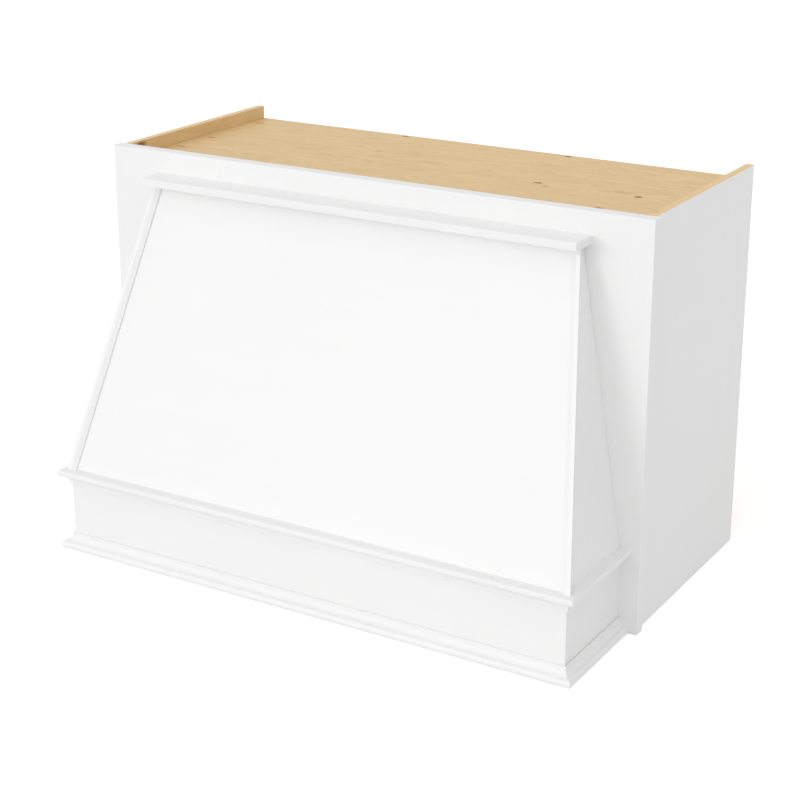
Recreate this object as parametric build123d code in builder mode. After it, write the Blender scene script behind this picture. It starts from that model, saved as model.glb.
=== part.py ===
from build123d import *
from math import cos, hypot, radians, sin
import os

os.makedirs("parts", exist_ok=True)

# A wooden cover for a range hood's blower and duct. It hangs on the wall between two
# kitchen cabinets: a cabinet box with a face frame, and a sloping canopy in front of it.
# x runs along the wall with 0 in the middle, y runs towards the wall with 0 on its
# surface, and z runs up from the bottom edge. Millimetres.

# Cabinet box
cover_width = 914.4           # across the face frame
cover_height = 609.6          # bottom edge to the top of the face frame
side_panel_depth = 361.95     # wall to the back of the face frame
side_panel_thickness = 12.7
top_panel_thickness = 12.7
top_panel_set_down = 20.6     # top panel's upper face, below the top of the sides
dado_depth = 6.35             # groove that holds each end of the top panel
hanging_rail_thickness = 15.9
hanging_rail_height = 76.2
wall_hole_radius = 2.6        # holes for the screws into the wall
wall_hole_spacing = 406.4     # one stud to the next
cleat_size = 19.05            # square section of the glue cleats
top_cleat_width = 38.1

# Face frame
frame_thickness = 19.05
frame_overhang = 6.35         # frame past the outer face of each side panel
top_rail_width = 76.2

# Apron round the bottom
stile_reveal = 28.6           # stile left bare beside the apron
apron_reach = 174.6           # frame face to apron face
apron_height = 120.0
apron_thickness = 19.05

# Canopy
canopy_top_half_width = 353.6
canopy_top_reach = 18.65      # canopy face in front of the frame, under the cap
canopy_panel_thickness = 9.5
cheek_thickness = 12.7
head_cleat_height = 30.0
cleat_clearance = 10.0        # upright cleats end this far below where they would meet

# Trim over the sloping corners, measured level from the corner of the canopy
trim_front_width = 6.4        # on the canopy's face
trim_side_width = 12.7        # on the cheek's face
trim_edge = 0.8               # thin outer edges of the trim
trim_bevel_end = 1.6          # where the bevel meets the front band
trim_band_width = 6.3
trim_projection = 6.2

# Cap
cap_set_down = 33.3           # top of the cap, below the top of the frame
cap_thickness = 12.0
cap_end_overhang = 12.4       # past the canopy's upper corner
cap_projection = 47.6         # in front of the frame
cap_easing = 1.0
edge_easing = 0.6             # sandpapered arris on the stiles

# Moulding, one stock for both levels: the wide face is down on the lower run, up on the upper
moulding_height = 23.8
moulding_projection = 15.9
arris_radius = 2.8            # edge of the wide face
nose_flat = 2.7               # straight part above it
nose_radius = 5.0
nose_turn = 104.0             # degrees that the nose rounds over before the crease
cove_hollow = 1.8             # depth of the cove below a straight line
lip_projection = 3.4
lip_height = 5.3
lip_radius = 1.2
ledge_rise = 10.2             # top of the upper run, above the apron

# Blocks and rails inside
corner_block_size = 38.1
corner_block_height = 100.0
corner_block_lift = 10.0
liner_rail_lift = 25.4        # the liner's flange hangs under these rails
liner_rail_height = 38.1
liner_rail_thickness = 19.05
liner_rail_gap = 25.4         # room behind the face frame for the driver

# Countersunk screws
shank_radius = 2.1
head_radius = 4.2
head_depth = 3.0
point_length = 6.0
screw_slack = 0.1             # hole past the screw all round
recess_width = 1.2
recess_span = 4.6
recess_depth = 1.6
frame_screw_length = 44.45    # stile to cheek and to apron
cap_screw_length = 57.15
rail_screw_length = 28.6
block_screw_length = 50.8
apron_screw_low = 40.0
apron_screw_spacing = 55.0
cheek_screw_low = 160.0
cheek_screw_spacing = 130.0
cheek_screw_count = 3
cap_screw_spacing = 250.0
cap_screw_count = 3
front_rail_screw_spacing = 250.0
front_rail_screw_count = 3
side_rail_screw_spacing = 130.0
side_rail_screw_count = 3
apron_rail_screw_spacing = 70.0
block_screw_inset = 25.0      # from each end of a corner block

# Pocket screws
pocket_angle = 15.0
pocket_radius = 3.4
pocket_step = 17.6            # step in the hole, from the joint
pocket_length = 45.0
pocket_shank_radius = 1.7
pocket_head_radius = 3.0
pocket_head_height = 2.4
pocket_screw_length = 30.6
frame_pocket_count = 5
frame_pocket_low = 12.0
frame_pocket_top_inset = 6.6
rail_pocket_top_inset = 11.6
rail_pocket_spacing = 43.0
rail_pocket_step = 22.0

# Staples through the top panel
staple_crown = 12.7
staple_wire = 1.5
staple_leg = 25.4
staple_slack = 0.05
side_staple_setbacks = (42.0, 178.0, 259.0)   # from the wall
back_staple_setback = 8.0
back_staple_half_spacing = 149.0

# Places that several pieces share
half_width = cover_width / 2
side_outer = half_width - frame_overhang
side_inner = side_outer - side_panel_thickness
side_middle = side_outer - side_panel_thickness / 2
frame_back = -side_panel_depth
frame_front = frame_back - frame_thickness
rail_bottom = cover_height - top_rail_width
top_panel_top = cover_height - top_panel_set_down
top_panel_bottom = top_panel_top - top_panel_thickness
apron_side = half_width - stile_reveal
apron_front = frame_front - apron_reach
apron_inner_side = apron_side - apron_thickness
apron_inner_front = apron_front + apron_thickness
cap_top = cover_height - cap_set_down
cap_half_length = canopy_top_half_width + cap_end_overhang
canopy_top = cap_top - cap_thickness
canopy_rise = canopy_top - apron_height
side_lean = (apron_side - canopy_top_half_width) / canopy_rise
front_lean = (apron_reach - canopy_top_reach) / canopy_rise
cheek_run = cheek_thickness * hypot(1, side_lean)
panel_run = canopy_panel_thickness * hypot(1, front_lean)
ledge_top = apron_height + ledge_rise
base_cleat_top = apron_height + cleat_size
cleat_meeting = apron_height + (apron_reach - panel_run - 2 * cleat_size) / front_lean
upright_cleat_top = cleat_meeting - cleat_clearance
liner_rail_top = liner_rail_lift + liner_rail_height


def cheek_x(height):
    """Outer face of the right cheek at a height."""
    return apron_side - side_lean * (height - apron_height)


def panel_y(height):
    """Front face of the canopy panel at a height."""
    return apron_front + front_lean * (height - apron_height)


def inner_x(height):
    """Inner face of the right cheek at a height."""
    return cheek_x(height) - cheek_run


def inner_y(height):
    """Back face of the canopy panel at a height."""
    return panel_y(height) + panel_run


stile_top_x = inner_x(rail_bottom) - cleat_size


def board(low, high, mode=Mode.ADD):
    """A straight board between two opposite corners."""
    width, depth, height = (b - a for a, b in zip(low, high))
    middle = ((low[0] + high[0]) / 2, (low[1] + high[1]) / 2)
    with BuildSketch(Plane.XY.offset(low[2])) as outline:
        with Locations(middle):
            Rectangle(width, depth)
    extrude(outline.sketch, amount=height, mode=mode)


def prism(plane, corners, length, both=False):
    """A piece of constant section: a closed outline on a plane, run along its normal."""
    with BuildSketch(plane) as outline:
        with BuildLine():
            Polyline(*corners, close=True)
        make_face()
    extrude(outline.sketch, amount=length, both=both)


def leaning_prism(corners, low, high):
    """A stick of constant level section that follows the sloping right corner."""
    rise = high - low
    along = Vector(-side_lean * rise, front_lean * rise, rise)
    with BuildSketch(Plane.XY.offset(low)) as outline:
        with BuildLine():
            Polyline(*corners, close=True)
        make_face()
    extrude(outline.sketch, amount=along.length, dir=along)


def turned(corners):
    """A round piece about the z axis from half its outline."""
    with BuildSketch(Plane.XZ) as half_outline:
        with BuildLine():
            Polyline(*corners, close=True)
        make_face()
    revolve(half_outline.sketch, axis=Axis.Z)


def spread(count, spacing):
    """Evenly spaced offsets with their middle at 0."""
    return [spacing * (index - (count - 1) / 2) for index in range(count)]


def drill(tool, seats):
    """Cut the same hole at every seat."""
    with Locations(*seats):
        add(tool.part, mode=Mode.SUBTRACT)


# Screws and the holes they sit in: the head's seat is at z = 0 and the point is below it


def wood_screw(length):
    """Countersunk screw with its head level with z = 0 and a cross recess."""
    turned(
        [
            (0, 0),
            (head_radius, 0),
            (shank_radius, -head_depth),
            (shank_radius, point_length - length),
            (0, -length),
        ]
    )
    for across, along in ((recess_width, recess_span), (recess_span, recess_width)):
        board(
            (-across / 2, -along / 2, -recess_depth),
            (across / 2, along / 2, recess_depth),
            mode=Mode.SUBTRACT,
        )


def wood_screw_hole(length):
    """Countersunk hole, a little larger than the screw all round."""
    turned(
        [
            (0, head_depth),
            (head_radius + screw_slack, head_depth),
            (head_radius + screw_slack, 0),
            (shank_radius + screw_slack, -head_depth),
            (shank_radius + screw_slack, -length - screw_slack),
            (0, -length - screw_slack),
        ]
    )


def staple(slack, rise):
    """Wire staple with its crown level with z = rise, or the slot it leaves."""
    reach = staple_crown / 2 + slack
    half_wire = staple_wire / 2 + slack
    board((-reach, -half_wire, -staple_wire - slack), (reach, half_wire, rise))
    for inner, outer in ((-reach, -reach + 2 * half_wire), (reach - 2 * half_wire, reach)):
        board((inner, -half_wire, -staple_leg - slack), (outer, half_wire, rise))


with BuildPart() as frame_screw:
    wood_screw(frame_screw_length)

with BuildPart() as frame_screw_hole:
    wood_screw_hole(frame_screw_length)

with BuildPart() as cap_screw:
    wood_screw(cap_screw_length)

with BuildPart() as cap_screw_hole:
    wood_screw_hole(cap_screw_length)

with BuildPart() as rail_screw:
    wood_screw(rail_screw_length)

with BuildPart() as rail_screw_hole:
    wood_screw_hole(rail_screw_length)

with BuildPart() as block_screw:
    wood_screw(block_screw_length)

with BuildPart() as block_screw_hole:
    wood_screw_hole(block_screw_length)

with BuildPart() as pocket_screw:
    turned(
        [
            (0, pocket_head_height),
            (pocket_head_radius, pocket_head_height),
            (pocket_head_radius, 0),
            (pocket_shank_radius, 0),
            (pocket_shank_radius, point_length - pocket_screw_length),
            (0, -pocket_screw_length),
        ]
    )

with BuildPart() as pocket_hole:
    turned(
        [
            (0, pocket_length),
            (pocket_radius, pocket_length),
            (pocket_radius, 0),
            (pocket_shank_radius + screw_slack, 0),
            (pocket_shank_radius + screw_slack, -pocket_screw_length - screw_slack),
            (0, -pocket_screw_length - screw_slack),
        ]
    )

with BuildPart() as wire_staple:
    staple(0, 0)

with BuildPart() as staple_slot:
    staple(staple_slack, staple_wire)


# Where the screws sit: each seat is a plane whose z axis points out past the head


def both_sides(seats):
    """The seats of the right half and their reflections on the left."""
    reflected = [
        Plane(
            origin=(-seat.origin.X, seat.origin.Y, seat.origin.Z),
            z_dir=(-seat.z_dir.X, seat.z_dir.Y, seat.z_dir.Z),
        )
        for seat in seats
    ]
    return seats + reflected


tilt = radians(pocket_angle)
frame_pocket_pitch = (cover_height - frame_pocket_top_inset - frame_pocket_low) / (
    frame_pocket_count - 1
)
frame_pocket_seats = [
    Plane(
        origin=(side_middle, frame_back, frame_pocket_low + index * frame_pocket_pitch),
        z_dir=(-sin(tilt), cos(tilt), 0),
    ).offset(pocket_step)
    for index in range(frame_pocket_count)
]
rail_pocket_top = cover_height - rail_pocket_top_inset
rail_pocket_seats = [
    Plane(
        origin=(stile_top_x, frame_back - frame_thickness / 2, height),
        z_dir=(-cos(tilt), sin(tilt), 0),
    ).offset(rail_pocket_step)
    for height in (rail_pocket_top, rail_pocket_top - rail_pocket_spacing)
]
cheek_screw_heights = [
    cheek_screw_low + index * cheek_screw_spacing for index in range(cheek_screw_count)
]
cheek_screw_seats = [
    Plane(origin=(inner_x(height) + cheek_run / 2, frame_back, height), z_dir=(0, 1, 0))
    for height in cheek_screw_heights
]
apron_screw_seats = [
    Plane(origin=(apron_side - apron_thickness / 2, frame_back, height), z_dir=(0, 1, 0))
    for height in (apron_screw_low, apron_screw_low + apron_screw_spacing)
]
front_cleat_back = frame_back + cleat_size
cap_screw_seats = [
    Plane(origin=(x, front_cleat_back, cap_top - cap_thickness / 2), z_dir=(0, 1, 0))
    for x in spread(cap_screw_count, cap_screw_spacing)
]
liner_rail_middle = liner_rail_lift + liner_rail_height / 2
liner_rail_front = frame_back + liner_rail_gap
side_rail_centre = (liner_rail_front - hanging_rail_thickness) / 2
side_rail_seats = [
    Plane(
        origin=(side_inner - liner_rail_thickness, side_rail_centre + shift, liner_rail_middle),
        z_dir=(-1, 0, 0),
    )
    for shift in spread(side_rail_screw_count, side_rail_screw_spacing)
]
front_rail_seats = [
    Plane(
        origin=(x, apron_inner_front + liner_rail_thickness, liner_rail_middle),
        z_dir=(0, 1, 0),
    )
    for x in spread(front_rail_screw_count, front_rail_screw_spacing)
]
apron_rail_front = apron_inner_front + corner_block_size
apron_rail_centre = (apron_rail_front + frame_front) / 2
apron_rail_seats = [
    Plane(
        origin=(
            apron_inner_side - liner_rail_thickness,
            apron_rail_centre + shift,
            liner_rail_middle,
        ),
        z_dir=(-1, 0, 0),
    )
    for shift in spread(2, apron_rail_screw_spacing)
]
block_top = corner_block_lift + corner_block_height
block_to_front_seat = Plane(
    origin=(
        apron_inner_side - corner_block_size / 2,
        apron_inner_front + corner_block_size,
        corner_block_lift + block_screw_inset,
    ),
    z_dir=(0, 1, 0),
)
block_to_side_seat = Plane(
    origin=(
        apron_inner_side - corner_block_size,
        apron_inner_front + corner_block_size / 2,
        block_top - block_screw_inset,
    ),
    z_dir=(-1, 0, 0),
)
block_seats = [block_to_front_seat, block_to_side_seat]
side_staple_seats = [
    Plane(origin=(side_inner - top_cleat_width / 2, -setback, top_panel_top))
    for setback in side_staple_setbacks
]
back_staple_seats = [
    Plane(origin=(back_staple_half_spacing, -back_staple_setback, top_panel_top))
]


# Cabinet box

with BuildPart() as right_side_panel:
    board((side_inner, frame_back, 0), (side_outer, 0, cover_height))
    board(
        (side_inner, frame_back, top_panel_bottom),
        (side_inner + dado_depth, 0, top_panel_top),
        mode=Mode.SUBTRACT,
    )
    drill(pocket_hole, frame_pocket_seats)
    drill(rail_screw_hole, side_rail_seats)
right_side_panel.part.label = "right_side_panel"
export_step(right_side_panel.part, "parts/right_side_panel.step")

with BuildPart() as left_side_panel:
    mirror(right_side_panel.part, about=Plane.YZ)
left_side_panel.part.label = "left_side_panel"
export_step(left_side_panel.part, "parts/left_side_panel.step")

with BuildPart() as top_panel:
    dado_floor = side_inner + dado_depth
    board((-dado_floor, frame_back, top_panel_bottom), (dado_floor, 0, top_panel_top))
    drill(staple_slot, both_sides(side_staple_seats + back_staple_seats))
top_panel.part.label = "top_panel"
export_step(top_panel.part, "parts/top_panel.step")

with BuildPart() as upper_hanging_rail:
    upper_rail_bottom = top_panel_bottom - hanging_rail_height
    board(
        (-side_inner, -hanging_rail_thickness, upper_rail_bottom),
        (side_inner, 0, top_panel_bottom),
    )
    upper_hole_height = top_panel_bottom - hanging_rail_height / 2
    with Locations(Plane(origin=(0, 0, upper_hole_height), x_dir=(1, 0, 0), z_dir=(0, 1, 0))):
        with GridLocations(wall_hole_spacing, 0, 2, 1):
            Hole(wall_hole_radius)
    drill(staple_slot, both_sides(back_staple_seats))
upper_hanging_rail.part.label = "upper_hanging_rail"
export_step(upper_hanging_rail.part, "parts/upper_hanging_rail.step")

with BuildPart() as lower_hanging_rail:
    board((-side_inner, -hanging_rail_thickness, 0), (side_inner, 0, hanging_rail_height))
    lower_hole_height = hanging_rail_height / 2
    with Locations(Plane(origin=(0, 0, lower_hole_height), x_dir=(1, 0, 0), z_dir=(0, 1, 0))):
        with GridLocations(wall_hole_spacing, 0, 2, 1):
            Hole(wall_hole_radius)
lower_hanging_rail.part.label = "lower_hanging_rail"
export_step(lower_hanging_rail.part, "parts/lower_hanging_rail.step")

with BuildPart() as front_top_cleat:
    board(
        (-side_inner, frame_back, top_panel_bottom - top_cleat_width),
        (side_inner, front_cleat_back, top_panel_bottom),
    )
    drill(cap_screw_hole, cap_screw_seats)
front_top_cleat.part.label = "front_top_cleat"
export_step(front_top_cleat.part, "parts/front_top_cleat.step")

with BuildPart() as right_top_cleat:
    board(
        (side_inner - top_cleat_width, front_cleat_back, top_panel_bottom - cleat_size),
        (side_inner, -hanging_rail_thickness, top_panel_bottom),
    )
    drill(staple_slot, side_staple_seats)
right_top_cleat.part.label = "right_top_cleat"
export_step(right_top_cleat.part, "parts/right_top_cleat.step")

with BuildPart() as left_top_cleat:
    mirror(right_top_cleat.part, about=Plane.YZ)
left_top_cleat.part.label = "left_top_cleat"
export_step(left_top_cleat.part, "parts/left_top_cleat.step")


# Face frame

with BuildPart() as right_stile:
    prism(
        Plane.XZ.offset(-frame_back),
        [
            (half_width, 0),
            (half_width, cover_height),
            (stile_top_x, cover_height),
            (stile_top_x, rail_bottom),
            (apron_inner_side, 0),
        ],
        frame_thickness,
    )
    outer_arris = right_stile.edges().filter_by(Axis.Z).group_by(Axis.X)[-1].sort_by(Axis.Y)[0]
    fillet(outer_arris, radius=edge_easing)
    drill(pocket_hole, frame_pocket_seats + rail_pocket_seats)
    drill(frame_screw_hole, cheek_screw_seats + apron_screw_seats)
right_stile.part.label = "right_stile"
export_step(right_stile.part, "parts/right_stile.step")

with BuildPart() as left_stile:
    mirror(right_stile.part, about=Plane.YZ)
left_stile.part.label = "left_stile"
export_step(left_stile.part, "parts/left_stile.step")

with BuildPart() as top_rail:
    board((-stile_top_x, frame_front, rail_bottom), (stile_top_x, frame_back, cover_height))
    drill(pocket_hole, both_sides(rail_pocket_seats))
    drill(cap_screw_hole, cap_screw_seats)
top_rail.part.label = "top_rail"
export_step(top_rail.part, "parts/top_rail.step")


# Apron, mitred at its two front corners

with BuildPart() as apron_front_board:
    prism(
        Plane.XY,
        [
            (-apron_side, apron_front),
            (apron_side, apron_front),
            (apron_inner_side, apron_inner_front),
            (-apron_inner_side, apron_inner_front),
        ],
        apron_height,
    )
    drill(rail_screw_hole, front_rail_seats)
    drill(block_screw_hole, both_sides([block_to_front_seat]))
apron_front_board.part.label = "apron_front"
export_step(apron_front_board.part, "parts/apron_front.step")

with BuildPart() as apron_right:
    prism(
        Plane.XY,
        [
            (apron_side, apron_front),
            (apron_side, frame_front),
            (apron_inner_side, frame_front),
            (apron_inner_side, apron_inner_front),
        ],
        apron_height,
    )
    drill(frame_screw_hole, apron_screw_seats)
    drill(rail_screw_hole, apron_rail_seats)
    drill(block_screw_hole, [block_to_side_seat])
apron_right.part.label = "apron_right"
export_step(apron_right.part, "parts/apron_right.step")

with BuildPart() as apron_left:
    mirror(apron_right.part, about=Plane.YZ)
apron_left.part.label = "apron_left"
export_step(apron_left.part, "parts/apron_left.step")


# Canopy: the panel covers the front ends of the cheeks

with BuildPart() as right_cheek:
    prism(
        Plane.XZ.offset(-frame_front),
        [
            (cheek_x(apron_height), apron_height),
            (cheek_x(canopy_top), canopy_top),
            (inner_x(canopy_top), canopy_top),
            (inner_x(apron_height), apron_height),
        ],
        apron_reach,
    )
    panel_back = Plane(origin=(0, inner_y(apron_height), apron_height), z_dir=(0, 1, -front_lean))
    split(bisect_by=panel_back, keep=Keep.TOP)
    drill(frame_screw_hole, cheek_screw_seats)
right_cheek.part.label = "right_cheek"
export_step(right_cheek.part, "parts/right_cheek.step")

with BuildPart() as left_cheek:
    mirror(right_cheek.part, about=Plane.YZ)
left_cheek.part.label = "left_cheek"
export_step(left_cheek.part, "parts/left_cheek.step")

with BuildPart() as canopy_panel:
    prism(
        Plane.YZ,
        [
            (panel_y(apron_height), apron_height),
            (panel_y(canopy_top), canopy_top),
            (inner_y(canopy_top), canopy_top),
            (inner_y(apron_height), apron_height),
        ],
        apron_side,
        both=True,
    )
    for side in (-1, 1):
        cheek_face = Plane(
            origin=(side * apron_side, 0, apron_height), z_dir=(-side, 0, -side_lean)
        )
        split(bisect_by=cheek_face, keep=Keep.TOP)
canopy_panel.part.label = "canopy_panel"
export_step(canopy_panel.part, "parts/canopy_panel.step")

with BuildPart() as right_corner_trim:
    corner_x = cheek_x(ledge_top)
    corner_y = panel_y(ledge_top)
    band_end = trim_bevel_end + trim_band_width
    leaning_prism(
        [
            (corner_x, corner_y),
            (corner_x - trim_front_width, corner_y),
            (corner_x - trim_front_width, corner_y - trim_edge),
            (corner_x + trim_bevel_end, corner_y - trim_projection),
            (corner_x + band_end, corner_y - trim_projection),
            (corner_x + trim_edge, corner_y + trim_side_width),
            (corner_x, corner_y + trim_side_width),
        ],
        ledge_top,
        canopy_top,
    )
right_corner_trim.part.label = "right_corner_trim"
export_step(right_corner_trim.part, "parts/right_corner_trim.step")

with BuildPart() as left_corner_trim:
    mirror(right_corner_trim.part, about=Plane.YZ)
left_corner_trim.part.label = "left_corner_trim"
export_step(left_corner_trim.part, "parts/left_corner_trim.step")

with BuildPart() as cap_board:
    board(
        (-cap_half_length, frame_front - cap_projection, canopy_top),
        (cap_half_length, frame_front, cap_top),
    )
    cap_front_face = cap_board.faces().sort_by(Axis.Y)[0]
    fillet(cap_front_face.edges(), radius=cap_easing)
    drill(cap_screw_hole, cap_screw_seats)
cap_board.part.label = "cap_board"
export_step(cap_board.part, "parts/cap_board.step")


# Mouldings, mitred at the two front corners


def moulding_section(plane, base, turn, lean):
    """Section of the moulding on a plane whose x axis points out from the apron's face.

    base is the height of the wide face, turn is 1 when that face is down and -1 when it
    is up, and lean is the slope that the wide face's back edge is scribed to.
    """

    def at(out, up):
        return (out, base + turn * up)

    eighth = 1 - cos(radians(45))
    nose_x = moulding_projection - nose_radius
    nose_z = arris_radius + nose_flat
    half_turn = radians(nose_turn / 2)
    end_turn = radians(nose_turn)
    crease_x = nose_x + nose_radius * cos(end_turn)
    crease_z = nose_z + nose_radius * sin(end_turn)
    lip_foot = moulding_height - lip_height
    chord = hypot(lip_projection - crease_x, lip_foot - crease_z)
    cove_x = (crease_x + lip_projection) / 2 - (lip_foot - crease_z) * cove_hollow / chord
    cove_z = (crease_z + lip_foot) / 2 + (lip_projection - crease_x) * cove_hollow / chord
    foot = at(-lean * ledge_rise, 0)
    with BuildSketch(plane) as section:
        with BuildLine():
            Line(foot, at(moulding_projection - arris_radius, 0))
            ThreePointArc(
                at(moulding_projection - arris_radius, 0),
                at(moulding_projection - arris_radius * eighth, arris_radius * eighth),
                at(moulding_projection, arris_radius),
            )
            Line(at(moulding_projection, arris_radius), at(moulding_projection, nose_z))
            ThreePointArc(
                at(moulding_projection, nose_z),
                at(nose_x + nose_radius * cos(half_turn), nose_z + nose_radius * sin(half_turn)),
                at(crease_x, crease_z),
            )
            ThreePointArc(
                at(crease_x, crease_z), at(cove_x, cove_z), at(lip_projection, lip_foot)
            )
            Line(at(lip_projection, lip_foot), at(lip_projection, moulding_height - lip_radius))
            ThreePointArc(
                at(lip_projection, moulding_height - lip_radius),
                at(lip_projection - lip_radius * eighth, moulding_height - lip_radius * eighth),
                at(lip_projection - lip_radius, moulding_height),
            )
            Polyline(
                at(lip_projection - lip_radius, moulding_height),
                at(0, moulding_height),
                at(0, ledge_rise),
                foot,
            )
        make_face()
    return section.sketch


def front_moulding(base, turn, lean):
    """Moulding across the front of the apron."""
    reach = apron_side + moulding_projection
    start = Plane(origin=(reach, apron_front, 0), x_dir=(0, -1, 0), z_dir=(-1, 0, 0))
    extrude(moulding_section(start, base, turn, lean), amount=2 * reach)
    for side in (-1, 1):
        mitre = Plane(origin=(side * apron_side, apron_front, 0), z_dir=(-side, -1, 0))
        split(bisect_by=mitre, keep=Keep.TOP)


def right_moulding(base, turn, lean):
    """Moulding back from the right front corner to the face frame."""
    start = Plane(origin=(apron_side, frame_front, 0), x_dir=(1, 0, 0), z_dir=(0, -1, 0))
    section = moulding_section(start, base, turn, lean)
    extrude(section, amount=apron_reach + moulding_projection)
    mitre = Plane(origin=(apron_side, apron_front, 0), z_dir=(1, 1, 0))
    split(bisect_by=mitre, keep=Keep.TOP)


with BuildPart() as bottom_moulding_front:
    front_moulding(0, 1, 0)
bottom_moulding_front.part.label = "bottom_moulding_front"
export_step(bottom_moulding_front.part, "parts/bottom_moulding_front.step")

with BuildPart() as bottom_moulding_right:
    right_moulding(0, 1, 0)
bottom_moulding_right.part.label = "bottom_moulding_right"
export_step(bottom_moulding_right.part, "parts/bottom_moulding_right.step")

with BuildPart() as bottom_moulding_left:
    mirror(bottom_moulding_right.part, about=Plane.YZ)
bottom_moulding_left.part.label = "bottom_moulding_left"
export_step(bottom_moulding_left.part, "parts/bottom_moulding_left.step")

with BuildPart() as mid_moulding_front:
    front_moulding(ledge_top, -1, front_lean)
mid_moulding_front.part.label = "mid_moulding_front"
export_step(mid_moulding_front.part, "parts/mid_moulding_front.step")

with BuildPart() as mid_moulding_right:
    right_moulding(ledge_top, -1, side_lean)
mid_moulding_right.part.label = "mid_moulding_right"
export_step(mid_moulding_right.part, "parts/mid_moulding_right.step")

with BuildPart() as mid_moulding_left:
    mirror(mid_moulding_right.part, about=Plane.YZ)
mid_moulding_left.part.label = "mid_moulding_left"
export_step(mid_moulding_left.part, "parts/mid_moulding_left.step")


# Blocks and cleats glued into the angles inside

with BuildPart() as right_corner_block:
    board(
        (apron_inner_side - corner_block_size, apron_inner_front, corner_block_lift),
        (apron_inner_side, apron_rail_front, block_top),
    )
    drill(block_screw_hole, block_seats)
right_corner_block.part.label = "right_corner_block"
export_step(right_corner_block.part, "parts/right_corner_block.step")

with BuildPart() as left_corner_block:
    mirror(right_corner_block.part, about=Plane.YZ)
left_corner_block.part.label = "left_corner_block"
export_step(left_corner_block.part, "parts/left_corner_block.step")

with BuildPart() as right_stile_block:
    board(
        (apron_inner_side - cleat_size, frame_front - cleat_size, liner_rail_top),
        (apron_inner_side, frame_front, apron_height),
    )
right_stile_block.part.label = "right_stile_block"
export_step(right_stile_block.part, "parts/right_stile_block.step")

with BuildPart() as left_stile_block:
    mirror(right_stile_block.part, about=Plane.YZ)
left_stile_block.part.label = "left_stile_block"
export_step(left_stile_block.part, "parts/left_stile_block.step")

base_cleat_back = inner_y(apron_height) + cleat_size

with BuildPart() as front_base_cleat:
    prism(
        Plane.YZ,
        [
            (inner_y(apron_height), apron_height),
            (base_cleat_back, apron_height),
            (base_cleat_back, base_cleat_top),
            (inner_y(base_cleat_top), base_cleat_top),
        ],
        inner_x(base_cleat_top),
        both=True,
    )
front_base_cleat.part.label = "front_base_cleat"
export_step(front_base_cleat.part, "parts/front_base_cleat.step")

with BuildPart() as right_base_cleat:
    prism(
        Plane.XZ.offset(-frame_front),
        [
            (inner_x(apron_height), apron_height),
            (inner_x(base_cleat_top), base_cleat_top),
            (inner_x(apron_height) - cleat_size, base_cleat_top),
            (inner_x(apron_height) - cleat_size, apron_height),
        ],
        frame_front - base_cleat_back,
    )
right_base_cleat.part.label = "right_base_cleat"
export_step(right_base_cleat.part, "parts/right_base_cleat.step")

with BuildPart() as left_base_cleat:
    mirror(right_base_cleat.part, about=Plane.YZ)
left_base_cleat.part.label = "left_base_cleat"
export_step(left_base_cleat.part, "parts/left_base_cleat.step")

with BuildPart() as right_panel_cleat:
    angle_x = inner_x(base_cleat_top)
    angle_y = inner_y(base_cleat_top)
    leaning_prism(
        [
            (angle_x, angle_y),
            (angle_x, angle_y + cleat_size),
            (angle_x - cleat_size, angle_y + cleat_size),
            (angle_x - cleat_size, angle_y),
        ],
        base_cleat_top,
        upright_cleat_top,
    )
right_panel_cleat.part.label = "right_panel_cleat"
export_step(right_panel_cleat.part, "parts/right_panel_cleat.step")

with BuildPart() as left_panel_cleat:
    mirror(right_panel_cleat.part, about=Plane.YZ)
left_panel_cleat.part.label = "left_panel_cleat"
export_step(left_panel_cleat.part, "parts/left_panel_cleat.step")

with BuildPart() as right_cheek_cleat:
    prism(
        Plane.XZ.offset(-frame_front),
        [
            (inner_x(base_cleat_top), base_cleat_top),
            (inner_x(upright_cleat_top), upright_cleat_top),
            (inner_x(upright_cleat_top) - cleat_size, upright_cleat_top),
            (inner_x(base_cleat_top) - cleat_size, base_cleat_top),
        ],
        cleat_size,
    )
right_cheek_cleat.part.label = "right_cheek_cleat"
export_step(right_cheek_cleat.part, "parts/right_cheek_cleat.step")

with BuildPart() as left_cheek_cleat:
    mirror(right_cheek_cleat.part, about=Plane.YZ)
left_cheek_cleat.part.label = "left_cheek_cleat"
export_step(left_cheek_cleat.part, "parts/left_cheek_cleat.step")

with BuildPart() as head_cleat:
    head_cleat_bottom = canopy_top - head_cleat_height
    prism(
        Plane.YZ,
        [
            (frame_front, canopy_top),
            (inner_y(canopy_top), canopy_top),
            (inner_y(head_cleat_bottom), head_cleat_bottom),
            (frame_front, head_cleat_bottom),
        ],
        inner_x(canopy_top),
        both=True,
    )
head_cleat.part.label = "head_cleat"
export_step(head_cleat.part, "parts/head_cleat.step")


# Rails that the blower's liner is screwed up to

with BuildPart() as right_liner_rail:
    board(
        (side_inner - liner_rail_thickness, liner_rail_front, liner_rail_lift),
        (side_inner, -hanging_rail_thickness, liner_rail_top),
    )
    drill(rail_screw_hole, side_rail_seats)
right_liner_rail.part.label = "right_liner_rail"
export_step(right_liner_rail.part, "parts/right_liner_rail.step")

with BuildPart() as left_liner_rail:
    mirror(right_liner_rail.part, about=Plane.YZ)
left_liner_rail.part.label = "left_liner_rail"
export_step(left_liner_rail.part, "parts/left_liner_rail.step")

with BuildPart() as front_liner_rail:
    front_rail_end = apron_inner_side - corner_block_size
    board(
        (-front_rail_end, apron_inner_front, liner_rail_lift),
        (front_rail_end, apron_inner_front + liner_rail_thickness, liner_rail_top),
    )
    drill(rail_screw_hole, front_rail_seats)
front_liner_rail.part.label = "front_liner_rail"
export_step(front_liner_rail.part, "parts/front_liner_rail.step")

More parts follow.
